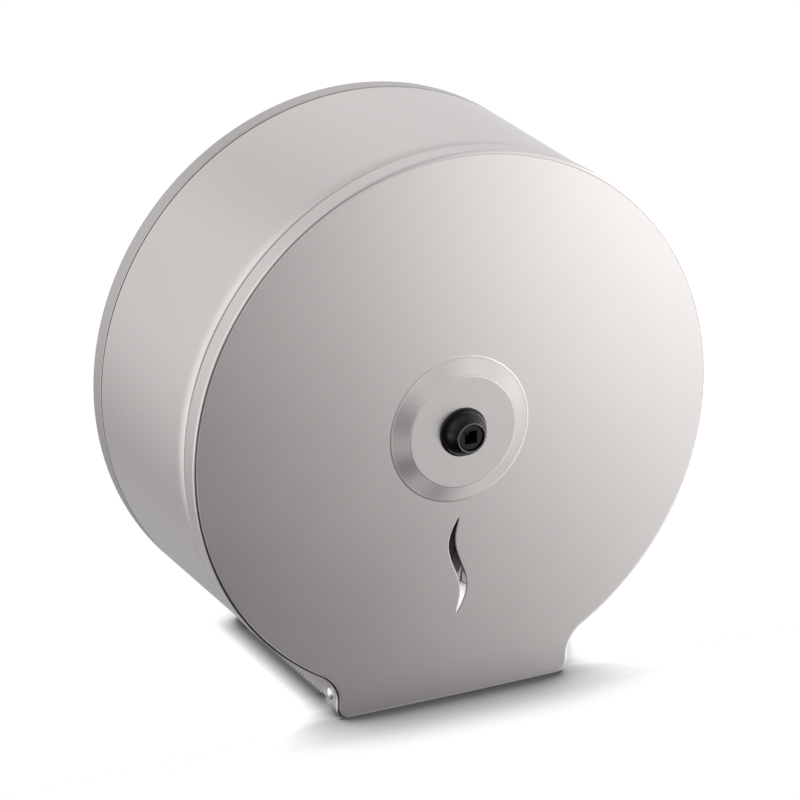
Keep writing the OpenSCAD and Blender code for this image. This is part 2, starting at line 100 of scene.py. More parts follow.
def tilt(height, x, z, facing):
    """The unit normal of the surface out = height(x, z), facing the room (1) or the wall (-1)."""
    e = 0.05
    n = Vector((
        -(height(x + e, z) - height(x - e, z)) / (2 * e), 1.0,
        -(height(x, z + e) - height(x, z - e)) / (2 * e)))
    return n.normalized() * facing


class Skin:
    """Rows of points with their normals, joined into faces: one side of a sheet, or a solid."""

    def __init__(self):
        self.points, self.normals, self.faces = [], [], []

    def row(self, points, normals):
        start = len(self.points)
        self.points += [Vector(p) for p in points]
        self.normals += [Vector(n).normalized() for n in normals]
        return list(range(start, len(self.points)))

    def join(self, lower, upper, closed=True):
        n = len(lower)
        for i in range(n if closed else n - 1):
            j = (i + 1) % n
            self.faces.append((lower[i], lower[j], upper[j], upper[i]))

    def fill(self, loops, inside=(), flip=False):
        """Triangles between closed rows of points, through the rows of points inside."""
        ids = [i for loop in loops for i in loop]
        edges, start = [], 0
        for loop in loops:
            n = len(loop)
            edges += [(start + i, start + (i + 1) % n) for i in range(n)]
            start += n
        ids += list(inside)
        flat = [Vector((self.points[i].x, self.points[i].z)) for i in ids]
        found = geometry.delaunay_2d_cdt(flat, edges, [], 0, 1e-5, True)
        back = [ids[o[0]] if o else None for o in found[3]]
        co = np.array([(v.x, v.y) for v in found[0]])
        tris = np.array([f for f in found[2] if len(f) == 3])
        mid = co[tris].mean(axis=1)
        ends = np.array([(flat[a], flat[b]) for a, b in edges])
        odd = np.zeros(len(mid), bool)
        for p, q in ends:
            spans = (p[1] > mid[:, 1]) != (q[1] > mid[:, 1])
            if p[1] != q[1]:
                crossing = p[0] + (mid[:, 1] - p[1]) * (q[0] - p[0]) / (q[1] - p[1])
                odd ^= spans & (mid[:, 0] < crossing)
        for tri in tris[odd]:
            face = tuple(back[i] for i in tri)
            self.faces.append(face[::-1] if flip else face)

    @staticmethod
    def mesh(name, points, faces, normals_of):
        data = bpy.data.meshes.new(name)
        data.from_pydata([(p.x * MM, -p.y * MM, p.z * MM) for p in points], [], faces)
        data.shade_smooth()
        data.normals_split_custom_set(normals_of(data))
        piece = bpy.data.objects.new(name, data)
        bpy.context.scene.collection.objects.link(piece)
        return piece

    def sheet(self, name):
        """The skin as a sheet of the stainless steel's thickness, with square cut edges."""
        n = len(self.points)
        inner = [p - v * SHEET for p, v in zip(self.points, self.normals)]
        sides = {}
        for f in self.faces:
            for i, v in enumerate(f):
                sides[(v, f[(i + 1) % len(f)])] = True
        cut = [(b, a, a + n, b + n) for a, b in sides if (b, a) not in sides]
        faces = self.faces + [tuple(i + n for i in f[::-1]) for f in self.faces] + cut
        walls = 2 * len(self.faces)
        out = [Vector((v.x, -v.y, v.z)) for v in self.normals]

        def normals_of(data):
            result = []
            for k, poly in enumerate(data.polygons):
                for v in poly.vertices:
                    result.append(poly.normal if k >= walls else out[v] if v < n else -out[v - n])
            return result

        return self.mesh(name, self.points + inner, faces, normals_of)

    def solid(self, name):
        """The skin as it is, a closed surface."""
        out = [Vector((v.x, -v.y, v.z)) for v in self.normals]
        return self.mesh(name, self.points, self.faces,
                         lambda data: [out[v] for poly in data.polygons for v in poly.vertices])


def polar_points(r, count, turn=0.0):
    return [(r * math.cos(2 * math.pi * (i + turn) / count),
             r * math.sin(2 * math.pi * (i + turn) / count)) for i in range(count)]


def pan_height(x, z):
    return PAD_RISE * (1 - ramp((math.hypot(x, z) - PAD_R) / PAD_SLOPE, 0.3, 0.3))


pan = Skin()
rim_rows = []
for k in range(9):
    bend = math.radians(90 * k / 8)
    offset = PAN_BEND * (1 - math.sin(bend))
    outline = keyhole(DRUM_R - offset, NECK_HALF - offset, NECK_DROP)
    rim_rows.append(pan.row(
        [(x, PAN_BEND * (1 - math.cos(bend)), z) for x, z, nx, nz in outline],
        [(nx * math.sin(bend), -math.cos(bend), nz * math.sin(bend)) for x, z, nx, nz in outline]))
outline = keyhole(DRUM_R, NECK_HALF, NECK_DROP)
for out in (4, 6, 8, 9.6, BACK_RIM):
    tuck = RIM_TUCK if out == BACK_RIM else 0.0
    rim_rows.append(pan.row(
        [(x - nx * tuck, out, z - nz * tuck) for x, z, nx, nz in outline],
        [(nx, tuck * 2, nz) for x, z, nx, nz in outline]))
for lower, upper in zip(rim_rows, rim_rows[1:]):
    pan.join(lower, upper, closed=False)
foot = rim_rows[0]
foot_x = pan.points[foot[0]].x
bottom = pan.row([(x, 0, -NECK_DROP) for x in np.linspace(-foot_x, foot_x, 32)[1:-1]],
                 [(0, -1, 0)] * 30)
loops = [foot + bottom]
for sx in (-HOLE_AT, HOLE_AT):
    for sz in (-HOLE_AT, HOLE_AT):
        ring = [(sx + x, sz + z) for x, z in polar_points(HOLE_R, HOLE_FACETS)]
        mouth = [(sx + x, sz + z) for x, z in polar_points(HOLE_R + HOLE_EASE, HOLE_FACETS)]
        inner_row = pan.row([(x, HOLE_SINK, z) for x, z in ring],
                            [(-(x - sx) / 4, -1, -(z - sz) / 4) for x, z in ring])
        outer_row = pan.row([(x, 0, z) for x, z in mouth], [(0, -1, 0)] * HOLE_FACETS)
        pan.join(inner_row, outer_row)
        loops.append(outer_row)
inside = []
for r in list(np.arange(4, 41, 6)) + list(np.arange(41, 49.5, 0.8)) + list(np.arange(54, 131, 7)):
    spacing = 3 if 40 < r < 50 else 7
    count = max(8, int(2 * math.pi * r / spacing))
    ring = [(x, z) for x, z in polar_points(r, count, (r * 0.37) % 1)
            if math.hypot(abs(x) - HOLE_AT, abs(z) - HOLE_AT) > 6]
    inside += pan.row([(x, pan_height(x, z), z) for x, z in ring],
                      [tilt(pan_height, x, z, -1) for x, z in ring])
pan.fill(loops, inside, flip=True)
back_plate = pan.sheet("back_plate_pan")


def surface_group(name, outputs, inputs):
    """A node group that gives a finish's colour, roughness or normal to several materials."""
    group = bpy.data.node_groups.new(name, "ShaderNodeTree")
    for label, kind, value in inputs:
        socket = group.interface.new_socket(label, in_out="INPUT", socket_type=kind)
        socket.default_value = value
    for label, kind in outputs:
        group.interface.new_socket(label, in_out="OUTPUT", socket_type=kind)
    return group, group.nodes.new("NodeGroupInput"), group.nodes.new("NodeGroupOutput")


def noise(tree, vector, scale, detail=3.0, rough=0.5):
    node = tree.nodes.new("ShaderNodeTexNoise")
    node.inputs["Scale"].default_value = scale
    node.inputs["Detail"].default_value = detail
    node.inputs["Roughness"].default_value = rough
    tree.links.new(vector, node.inputs["Vector"])
    return node.outputs["Fac"]


def maths(tree, operation, a, b=None, c=None):
    node = tree.nodes.new("ShaderNodeMath")
    node.operation = operation
    for socket, value in zip(node.inputs, (a, b, c)):
        if value is None:
            continue
        if isinstance(value, (int, float)):
            socket.default_value = value
        else:
            tree.links.new(value, socket)
    return node.outputs[0]


def satin_grain_group():
    """Fine straight or circling scratches of a satin finish, and faint clouding from handling."""
    group, given, result = surface_group(
        "satin_grain",
        [("Color", "NodeSocketColor"), ("Roughness", "NodeSocketFloat"),
         ("Height", "NodeSocketFloat")],
        [("Vector", "NodeSocketVector", (0, 0, 0)),
         ("Color", "NodeSocketColor", (0.6, 0.6, 0.6, 1)),
         ("Roughness", "NodeSocketFloat", 0.3), ("Stretch", "NodeSocketVector", (20, 900, 900)),
         ("Contrast", "NodeSocketFloat", 0.05)])
    place = group.nodes.new("ShaderNodeTexCoord")
    stretch = group.nodes.new("ShaderNodeVectorMath")
    stretch.operation = "MULTIPLY"
    group.links.new(given.outputs["Vector"], stretch.inputs[0])
    group.links.new(given.outputs["Stretch"], stretch.inputs[1])
    fine = noise(group, stretch.outputs[0], 1.0, 2.0, 0.5)
    coarse = noise(group, stretch.outputs[0], 0.4, 1.0)
    cloud = noise(group, place.outputs["Object"], 14.0, 3.0, 0.6)
    grain = maths(group, "MULTIPLY_ADD", coarse, 0.5, maths(group, "MULTIPLY", fine, 0.5))
    shade = maths(group, "MULTIPLY_ADD", maths(group, "SUBTRACT", grain, 0.5),
                  given.outputs["Contrast"],
                  maths(group, "MULTIPLY_ADD", maths(group, "SUBTRACT", cloud, 0.5), 0.02, 1.0))
    colour = group.nodes.new("ShaderNodeVectorMath")
    colour.operation = "SCALE"
    group.links.new(given.outputs["Color"], colour.inputs[0])
    group.links.new(shade, colour.inputs["Scale"])
    group.links.new(colour.outputs[0], result.inputs["Color"])
    group.links.new(
        maths(group, "ADD", given.outputs["Roughness"],
              maths(group, "MULTIPLY_ADD", maths(group, "SUBTRACT", grain, 0.5), 0.008,
                    maths(group, "MULTIPLY", maths(group, "SUBTRACT", cloud, 0.5), 0.03))),
        result.inputs["Roughness"])
    group.links.new(maths(group, "MULTIPLY", grain, given.outputs["Contrast"]),
                    result.inputs["Height"])
    return group


SATIN_GRAIN = satin_grain_group()


def new_material(name):
    material = bpy.data.materials.new(name)
    material.use_nodes = True
    shader = material.node_tree.nodes["Principled BSDF"]
    return material, material.node_tree, shader


def bump(tree, shader, height, distance):
    node = tree.nodes.new("ShaderNodeBump")
    node.inputs["Distance"].default_value = distance
    tree.links.new(height, node.inputs["Height"])
    tree.links.new(node.outputs["Normal"], shader.inputs["Normal"])


def satin_steel(name, tone, roughness, stretch, circling=False, contrast=0.012):
    """Satin stainless steel, its grain straight or running round the drum's axis."""
    material, tree, shader = new_material(name)
    place = tree.nodes.new("ShaderNodeTexCoord")
    vector = place.outputs["Object"]
    if circling:
        parts = tree.nodes.new("ShaderNodeSeparateXYZ")
        tree.links.new(vector, parts.inputs[0])
        round_axis = maths(tree, "ARCTAN2", parts.outputs["Z"], parts.outputs["X"])
        radius = maths(tree, "SQRT", maths(
            tree, "MULTIPLY_ADD", parts.outputs["X"], parts.outputs["X"],
            maths(tree, "MULTIPLY", parts.outputs["Z"], parts.outputs["Z"])))
        joined = tree.nodes.new("ShaderNodeCombineXYZ")
        tree.links.new(maths(tree, "MULTIPLY", round_axis, DRUM_R * MM), joined.inputs[0])
        tree.links.new(parts.outputs["Y"], joined.inputs[1])
        tree.links.new(radius, joined.inputs[2])
        vector = joined.outputs[0]
    grain = tree.nodes.new("ShaderNodeGroup")
    grain.node_tree = SATIN_GRAIN
    grain.inputs["Color"].default_value = (tone * 1.05, tone, tone * 0.985, 1)
    grain.inputs["Roughness"].default_value = roughness
    grain.inputs["Stretch"].default_value = stretch
    grain.inputs["Contrast"].default_value = contrast
    tree.links.new(vector, grain.inputs["Vector"])
    tree.links.new(grain.outputs["Color"], shader.inputs["Base Color"])
    tree.links.new(grain.outputs["Roughness"], shader.inputs["Roughness"])
    shader.inputs["Metallic"].default_value = 1.0
    bump(tree, shader, grain.outputs["Height"], 0.00001)
    return material


back_plate.data.materials.append(
    satin_steel("satin_pan", 0.47, 0.36, (30, 700, 1500)))
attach(back_plate, "housing")
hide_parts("back_plate")

# ---- Spindle: flange, rivets, tube and keeper ----
# A flange riveted on the pad carries a steel tube, and a slotted disc in the tube's nose
# is what the lock's cam turns behind. All plated or brushed steel, turned and punched.


def eased_edges(node, width):
    """A CAD node's meshed edges, closed up and given a small bevel that catches the light."""
    weld = node.modifiers.new("closed", "WELD")
    weld.merge_threshold = 0.000002
    bevel = node.modifiers.new("eased", "BEVEL")
    bevel.width = width * MM
    bevel.segments = 2
    bevel.limit_method = "ANGLE"
    bevel.angle_limit = math.radians(40)


def finish_node(name, material, width=0.15):
    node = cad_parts[name]
    node.data.materials.clear()
    node.data.materials.append(material)
    eased_edges(node, width)


def plated_steel(name, colour, roughness, mottle):
    """Zinc-plated or blackened steel with a faint mottle in its colour and gloss."""
    material, tree, shader = new_material(name)
    place = tree.nodes.new("ShaderNodeTexCoord").outputs["Object"]
    patches = noise(tree, place, 240.0, 4.0, 0.6)
    fine = noise(tree, place, 1800.0, 2.0)
    mix = tree.nodes.new("ShaderNodeMix")
    mix.data_type = "RGBA"
    tree.links.new(patches, mix.inputs["Factor"])
    mix.inputs["A"].default_value = (*[c * (1 - mottle) for c in colour], 1)
    mix.inputs["B"].default_value = (*[min(c * (1 + mottle), 1.0) for c in colour], 1)
    tree.links.new(mix.outputs["Result"], shader.inputs["Base Color"])
    tree.links.new(maths(tree, "MULTIPLY_ADD", patches, 0.15, roughness - 0.075),
                   shader.inputs["Roughness"])
    shader.inputs["Metallic"].default_value = 1.0
    bump(tree, shader, fine, 0.00002)
    return material


tube_steel = satin_steel(
    "brushed_tube", 0.56, 0.3, (60, 1500, 1500), circling=True, contrast=0.12)
zinc = plated_steel("zinc_plate", (0.60, 0.61, 0.62), 0.36, 0.12)
bright_rivet = plated_steel("bright_rivet", (0.74, 0.735, 0.72), 0.2, 0.04)
finish_node("spindle_flange", tube_steel, 0.25)
finish_node("spindle_tube", tube_steel, 0.2)
finish_node("spindle_rivets", bright_rivet, 0.5)
finish_node("lock_keeper", zinc, 0.2)

# ---- Drum wall ----
# One strip of satin stainless bent round the drum and down both sides of the neck. Its rear
# edge tucks into the back plate's rim, its front curls in to the cover, its feet are toothed.

MOUTH_R, MOUTH_HALF = 133.0, 60.2
CURL_START, CURL_TURN, CURL_END, RIM_BACK, MOUTH_FRONT = 98.0, 103.6, 1.6, 107.0, 114.0
TOOTH_PITCH, TOOTH_H = 3.0, 1.5
TUCK_GAP, STEP_START, STEP_LENGTH = 0.05, 0.2, 1.2
CURL_DROP, LIP_DROP, LIP_LEAN = 0.42, 0.78, 0.15

first_tooth = BACK_RIM + 2 * TOOTH_PITCH
teeth = int((CURL_START - first_tooth) / TOOTH_PITCH)
last_tooth = first_tooth + teeth * TOOTH_PITCH


def strip_section(out):
    """Radius and half width of the strip's outer skin, and how steeply its radius falls."""
    tucked = SHEET + TUCK_GAP
    if out <= BACK_RIM + STEP_START:
        return DRUM_R - SHEET - TUCK_GAP, NECK_HALF - SHEET - TUCK_GAP, 0.0
    if out < BACK_RIM + STEP_START + STEP_LENGTH:
        t = (out - BACK_RIM - STEP_START) / STEP_LENGTH
        step = 3 * t * t - 2 * t ** 3
        return (DRUM_R - tucked * (1 - step), NECK_HALF - tucked * (1 - step),
                -tucked * 6 * t * (1 - t) / STEP_LENGTH)
    if out <= CURL_START:
        return DRUM_R, NECK_HALF, 0.0
    fall = (DRUM_R - MOUTH_R) / (NECK_HALF - MOUTH_HALF)
    if out < CURL_TURN:
        t = (out - CURL_START) / (CURL_TURN - CURL_START)
        drop, lean = CURL_DROP * t * t, 2 * CURL_DROP * t / (CURL_TURN - CURL_START)
    else:
        t = min((out - CURL_TURN) / CURL_END, 1.0)
        drop = CURL_DROP + LIP_DROP * (1 - math.cos(math.pi * t)) / 2
        lean = LIP_DROP * math.pi / 2 / CURL_END * math.sin(math.pi * t)
        lean += LIP_LEAN if t < 1 else 0
    return DRUM_R - drop, NECK_HALF - drop / fall, lean


outs = [2, 5, 8, 9.6, 10.2, 10.4, 10.6, 10.8, 11.0, 11.2, 11.4, 11.6, 13.5]
outs += [first_tooth + TOOTH_PITCH * k / 2 for k in range(2 * teeth + 1)]
outs += list(np.linspace(last_tooth + 1, CURL_START, 2)) if last_tooth < CURL_START - 1 else []
outs += list(np.linspace(CURL_START, CURL_TURN, 7)[1:])
outs += [CURL_TURN + CURL_END * k / 8 for k in range(1, 9)] + [RIM_BACK, 110.5, MOUTH_FRONT]
strip = Skin()
previous = None
for out in outs:
    r, half, fall = strip_section(out)
    phase = (out - first_tooth) / TOOTH_PITCH
    notch = TOOTH_H * (1 - abs(2 * (phase % 1) - 1)) if 0 <= phase <= teeth else 0.0
    outline = keyhole(r, half, NECK_DROP - notch)
    row = strip.row([(x, out, z) for x, z, nx, nz in outline],
                    [(nx, fall, nz) for x, z, nx, nz in outline])
    if previous:
        strip.join(previous, row, closed=False)
    previous = row
drum_wall = strip.sheet("drum_wall_strip")
drum_wall.data.materials.append(
    satin_steel("satin_strip", 0.60, 0.292, (25, 1400, 1400), circling=True))
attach(drum_wall, "housing")
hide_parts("drum_wall")

# ---- Hinge plates ----
# Two small steel plates spot welded inside the neck, which the hinge rivets turn in.

finish_node("left_hinge_plate", tube_steel, 0.2)
finish_node("right_hinge_plate", tube_steel, 0.2)

# ---- Roll hub, spacer, thrust washer and clip ----
# The roll's core sits on a moulded grey sleeve that turns on the tube between a nylon
# spacer and washer, and a blackened spring clip in the tube's groove holds them on.


def turned(name, profile, centre=(0.0, 0.0), along=None, facets=96, sharp=32):
    """A solid of revolution from a closed profile of (radius, distance).

    It turns round a line out from the wall through centre, or along=(side, x0) round the hinge
    axis, with distance measured from x0 away from the middle."""
    points, faces, rings = [], [], []
    for r, d in profile:
        count = 1 if r < 1e-6 else facets
        ring = []
        for i in range(count):
            t = 2 * math.pi * i / facets
            u, v = centre[0] + r * math.cos(t), centre[1] + r * math.sin(t)
            ring.append(len(points))
            points.append((u, -d, v) if along is None else (along[0] * (along[1] + d), -u, v))
        rings.append(ring)
    for lower, upper in zip(rings, rings[1:] + rings[:1]):
        if len(lower) == len(upper) == 1:
            continue
        for i in range(facets):
            j = (i + 1) % facets
            face = [lower[i % len(lower)], lower[j % len(lower)],
                    upper[j % len(upper)], upper[i % len(upper)]]
            faces.append(tuple(dict.fromkeys(face)))
    data = bpy.data.meshes.new(name)
    data.from_pydata([tuple(c * MM for c in p) for p in points], [], faces)
    shape = bmesh.new()
    shape.from_mesh(data)
    bmesh.ops.recalc_face_normals(shape, faces=shape.faces)
    shape.to_mesh(data)
    shape.free()
    data.shade_smooth()
    data.set_sharp_from_angle(angle=math.radians(sharp))
    piece = bpy.data.objects.new(name, data)
    bpy.context.scene.collection.objects.link(piece)
    return piece


def rounded(profile, radius):
    """The closed profile with each corner rounded, by less where its sides are short."""
    result, steps = [], 4
    n = len(profile)
    for i, (x, y) in enumerate(profile):
        if x < 1e-6:
            result.append((x, y))
            continue
        p, here, q = Vector(profile[i - 1]), Vector((x, y)), Vector(profile[(i + 1) % n])
        a, b = p - here, q - here
        cut = min(radius, 0.4 * a.length, 0.4 * b.length)
        if a.length < 1e-6 or b.length < 1e-6 or a.angle(b) > math.radians(155):
            result.append((x, y))
            continue
        start, end = here + a.normalized() * cut, here + b.normalized() * cut
        for k in range(steps + 1):
            t = k / steps
            point = start * (1 - t) ** 2 + here * 2 * t * (1 - t) + end * t ** 2
            result.append((point.x, point.y))
    return result


def moulded(name, colour, roughness, grain, depth):
    """Injection-moulded plastic: a fine spark-eroded skin and slight colour drift."""
    material, tree, shader = new_material(name)
    place = tree.nodes.new("ShaderNodeTexCoord").outputs["Object"]
    skin = noise(tree, place, grain, 2.0, 0.6)
    drift = noise(tree, place, 30.0, 2.0)
    mix = tree.nodes.new("ShaderNodeMix")
    mix.data_type = "RGBA"
    tree.links.new(drift, mix.inputs["Factor"])
    mix.inputs["A"].default_value = (*[c * 0.92 for c in colour], 1)
    mix.inputs["B"].default_value = (*[min(c * 1.08, 1.0) for c in colour], 1)
    tree.links.new(mix.outputs["Result"], shader.inputs["Base Color"])
    tree.links.new(maths(tree, "MULTIPLY_ADD", skin, 0.12, roughness - 0.06),
                   shader.inputs["Roughness"])
    bump(tree, shader, skin, depth * MM)
    return material


HUB_BACK, HUB_FRONT, HUB_R, TUBE_R = 10.2, 98.2, 22.0, 18.05
hub_flange_r, hub_flange_t, hub_land, hub_wall = 30.0, 2.0, 12.0, 2.4
hub = turned("roll_hub_sleeve", rounded([
    (TUBE_R, HUB_BACK), (hub_flange_r, HUB_BACK), (hub_flange_r, HUB_BACK + hub_flange_t),
    (HUB_R, HUB_BACK + hub_flange_t), (HUB_R, HUB_FRONT), (TUBE_R, HUB_FRONT),
    (TUBE_R, HUB_FRONT - hub_land), (HUB_R - hub_wall, HUB_FRONT - hub_land),
    (HUB_R - hub_wall, HUB_BACK + hub_land), (TUBE_R, HUB_BACK + hub_land)], 0.6))
hub.data.materials.append(moulded("grey_sleeve", (0.20, 0.205, 0.21), 0.48, 900.0, 0.03))
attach(hub, "hub")
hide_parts("roll_hub")

nylon = moulded("white_nylon", (0.78, 0.77, 0.73), 0.42, 700.0, 0.01)
finish_node("hub_spacer", nylon, 0.25)
finish_node("hub_washer", nylon, 0.25)
finish_node("hub_clip", plated_steel("spring_steel", (0.16, 0.165, 0.18), 0.34, 0.2), 0.15)

# ---- Cover ----
# One satin stainless sheet pressed to a shallow dome, with a turned rim, a raised boss for
# the lock, an S-shaped slot that shows the roll's level, and an apron hinged at its ears.

COVER_R, APRON_HALF, APRON_DROP, APRON_CORNER = 134.96, 62.0, 139.3, 6.0
DEPTH, DOME_RISE, COVER_BEND = 118.0, 3.2, 2.0
BOSS_TOP_R, BOSS_FOOT_R, BOSS_OUT = 27.4, 36.7, 124.8
HINGE_OUT, HINGE_DROP, EAR_R, HEM = 109.0, 128.0, 4.5, 3.1


def dome(x, z):
    reach = COVER_R - COVER_BEND
    down = APRON_DROP - COVER_BEND if z < 0 else reach
    return DEPTH + DOME_RISE * (1 - (x / reach) ** 2 - (z / down) ** 2)


def cover_height(x, z):
    r = math.hypot(x, z)
    if r >= BOSS_FOOT_R:
        return dome(x, z)
    rise = ramp((r - BOSS_TOP_R) / (BOSS_FOOT_R - BOSS_TOP_R), 0.09, 0.17)
    return BOSS_OUT + (dome(x * BOSS_FOOT_R / r, z * BOSS_FOOT_R / r) - BOSS_OUT) * rise


def cover_outline(offset):
    return keyhole(COVER_R - offset, APRON_HALF - offset, APRON_DROP - offset,
                   APRON_CORNER - offset)


def rim_back(x, z):
    """Where the rim ends: square behind the disc, round the ear, and short below as a hem."""
    if z < -(APRON_DROP - APRON_CORNER) + 0.01:
        return DEPTH - HEM
    dz = abs(z + HINGE_DROP)
    if abs(x) < APRON_HALF + 4 and z < -120 and dz < EAR_R:
        return min(RIM_BACK, HINGE_OUT - math.sqrt(EAR_R ** 2 - dz ** 2))
    return RIM_BACK


def flat(points):
    return [(x, z) for x, z, nx, nz in points]


cover = Skin()
outline = cover_outline(0)
edge = cover_outline(COVER_BEND)
edge_out = [cover_height(x, z) for x, z in flat(edge)]
edge_tilt = [tilt(cover_height, x, z, 1) for x, z in flat(edge)]
rows = []
for share, tuck, lean in ((0.0, 0.22, -1.2), (0.022, 0.05, -0.4), (0.05, 0.0, 0.0),
                          (0.3, 0.0, 0.0), (0.5, 0.0, 0.0), (0.7, 0.0, 0.0), (0.88, 0.0, 0.0)):
    rim_outs = [rim_back(x, z) + (top - COVER_BEND - rim_back(x, z)) * share
                for (x, z), top in zip(flat(outline), edge_out)]
    rows.append(cover.row(
        [(x - nx * tuck, out, z - nz * tuck)
         for (x, z, nx, nz), out in zip(outline, rim_outs)],
        [(nx, lean, nz) for x, z, nx, nz in outline]))
for k in range(9):
    bend = math.radians(90 * k / 8)
    around = cover_outline(COVER_BEND * (1 - math.cos(bend)))
    rows.append(cover.row(
        [(x, top - COVER_BEND * (1 - math.sin(bend)), z)
         for (x, z, nx, nz), top in zip(around, edge_out)],
        [Vector((nx, 0, nz)) * math.cos(bend) + lean * math.sin(bend)
         for (x, z, nx, nz), lean in zip(around, edge_tilt)]))
for lower, upper in zip(rows, rows[1:]):
    cover.join(lower, upper)
face_edge = rows[-1]


def face_row(points):
    return cover.row([(x, cover_height(x, z), z) for x, z in points],
                     [tilt(cover_height, x, z, 1) for x, z in points])


boss_radii = [8.45, 11, 15, 19, 23, 26]
boss_radii += list(np.linspace(BOSS_TOP_R, BOSS_FOOT_R, 19)) + [37.4, 39.5]
boss_rows = [face_row(polar_points(r, 144)) for r in boss_radii]
for inner_row, outer_row in zip(boss_rows, boss_rows[1:]):
    cover.join(outer_row, inner_row)

SLOT_DROP, SLOT_LENGTH, SLOT_W, SLOT_SWAY = 45.3, 49.0, 4.2, 3.2
slot_steps = 40


def slot_side(t, side):
    x = -SLOT_SWAY * math.sin(2 * math.pi * t) + side * SLOT_W / 2 * math.sin(math.pi * t) ** 0.7
    return Vector((x, -SLOT_DROP - SLOT_LENGTH * t))


def slot_loop():
    """The slot's edge, anticlockwise seen from the room, and the way out of the slot there."""
    share = [(1 - math.cos(math.pi * i / slot_steps)) / 2 for i in range(slot_steps + 1)]
    left = [slot_side(t, -1) for t in share]
    right = [slot_side(t, 1) for t in share[slot_steps - 1:0:-1]]
    loop = left + right
    ways = []
    for i, p in enumerate(loop):
        along = loop[(i + 1) % len(loop)] - loop[i - 1]
        ways.append(Vector((along.y, -along.x)).normalized())
    return loop, ways


slot_edge, slot_ways = slot_loop()
slot_rows = []
for away, sink, lean in ((0.0, 0.34, 1.3), (0.14, 0.14, 0.75), (0.34, 0.03, 0.25), (0.6, 0.0, 0.0)):
    ring = [p + w * away for p, w in zip(slot_edge, slot_ways)]
    slot_rows.append(cover.row(
        [(p.x, cover_height(p.x, p.y) - sink, p.y) for p in ring],
        [tilt(cover_height, p.x, p.y, 1) - Vector((w.x, 0, w.y)) * lean
         for p, w in zip(ring, slot_ways)]))
for inner_row, outer_row in zip(slot_rows, slot_rows[1:]):
    cover.join(outer_row, inner_row)

inside = []
for r in np.arange(44, 131, 4.0):
    near = []
    for x, z in polar_points(r, int(2 * math.pi * r / 4.4), (r * 0.37) % 1):
        t = min(max((-z - SLOT_DROP) / SLOT_LENGTH, 0.0), 1.0)
        middle = slot_side(t, 0)
        if math.hypot(x - middle.x, z - middle.y) > SLOT_W / 2 + 1.6:
            near.append((x, z))
    inside += face_row(near)
apron = [(x, z) for x in np.arange(-55, 56, 5) for z in (-134.5, -131.5, -128, -124, -120)
         if math.hypot(x, z) > 131.5 and abs(x) < 56]
inside += face_row(apron)
cover.fill([face_edge, boss_rows[-1], slot_rows[-1]], inside)
cover_shell = cover.sheet("cover_shell_pressing")
cover_shell.data.materials.append(
    satin_steel("satin_cover", 0.60, 0.292, (1400, 1400, 30)))
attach(cover_shell, "cover")
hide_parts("cover_shell")

# ---- Hinge rivets and washers ----
# A bright stainless rivet with a domed head goes through each ear, a nylon washer and the
# neck, and is set over on the plate inside, so that the cover can swing down.

plate_t, plate_gap, head_seat = 1.5, 0.1, 0.05
hinge_inner = MOUTH_HALF - SHEET - plate_t - plate_gap
head_r, head_h, pin_r, set_r, set_h = 3.4, 1.4, 2.0, 3.0, 0.7
sphere_r = (head_r ** 2 + head_h ** 2) / (2 * head_h)
head = []
for k in range(9):
    rise = head_h - sphere_r + sphere_r * math.cos(math.asin(head_r / sphere_r) * (8 - k) / 8)
    reach = sphere_r * math.sin(math.asin(head_r / sphere_r) * (8 - k) / 8)
    head.append((reach, APRON_HALF + rise))
rivet_profile = [
    (0, hinge_inner - set_h), (set_r - 0.3, hinge_inner - set_h),
    (set_r, hinge_inner - set_h + 0.3), (set_r, hinge_inner), (pin_r, hinge_inner),
    (pin_r, APRON_HALF), (head_r - 0.12, APRON_HALF)]
rivet_profile += [(head[0][0], head[0][1] + head_seat)] + head[1:]
for side, word in ((-1, "left"), (1, "right")):
    rivet = turned(f"{word}_hinge_rivet_bright", rivet_profile,
                   centre=(HINGE_OUT, -HINGE_DROP), along=(side, 0.0), facets=64)
    rivet.data.materials.append(bright_rivet)
    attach(rivet, "cover")
    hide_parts(f"{word}_hinge_rivet")
    finish_node(f"{word}_hinge_washer", nylon, 0.08)

# ---- Lock housing, washer and nut ----
# A black body with a flange and a rounded cone, pushed through the boss from the front
# and held by a plated washer and nut behind it.

NOSE_OUT, PLUG_OUT, NOSE_R, CONE_R, BASE_R = 133.5, 132.5, 7.35, 11.15, 12.05
BORE_R, BODY_R, BODY_BACK, NOSE_MOUTH_R = 6.25, 8.4, 107.5, 6.65
cone = [(NOSE_R + (CONE_R - NOSE_R) * math.cos(math.pi / 2 * i / 16),
         BOSS_OUT + 1 + (NOSE_OUT - BOSS_OUT - 1) * i / 16) for i in range(17)]
housing_profile = (
    [(BORE_R, BODY_BACK), (BODY_R, BODY_BACK), (BODY_R, BOSS_OUT), (BASE_R, BOSS_OUT),
     (BASE_R, BOSS_OUT + 0.55), (BASE_R - 0.12, BOSS_OUT + 0.8), (BASE_R - 0.4, BOSS_OUT + 0.97),
     (CONE_R + 0.25, BOSS_OUT + 1)]
    + cone[:-2]
    + [(NOSE_R + 0.03, NOSE_OUT - 0.3), (NOSE_R - 0.04, NOSE_OUT - 0.12),
       (NOSE_R - 0.14, NOSE_OUT - 0.03), (NOSE_R - 0.26, NOSE_OUT),
       (NOSE_MOUTH_R + 0.2, NOSE_OUT), (NOSE_MOUTH_R + 0.06, NOSE_OUT - 0.06),
       (NOSE_MOUTH_R, NOSE_OUT - 0.2), (NOSE_MOUTH_R, PLUG_OUT - 0.15),
       (BORE_R, PLUG_OUT - 0.15)])
lock_housing = turned("lock_housing_cone", housing_profile, facets=128, sharp=40)


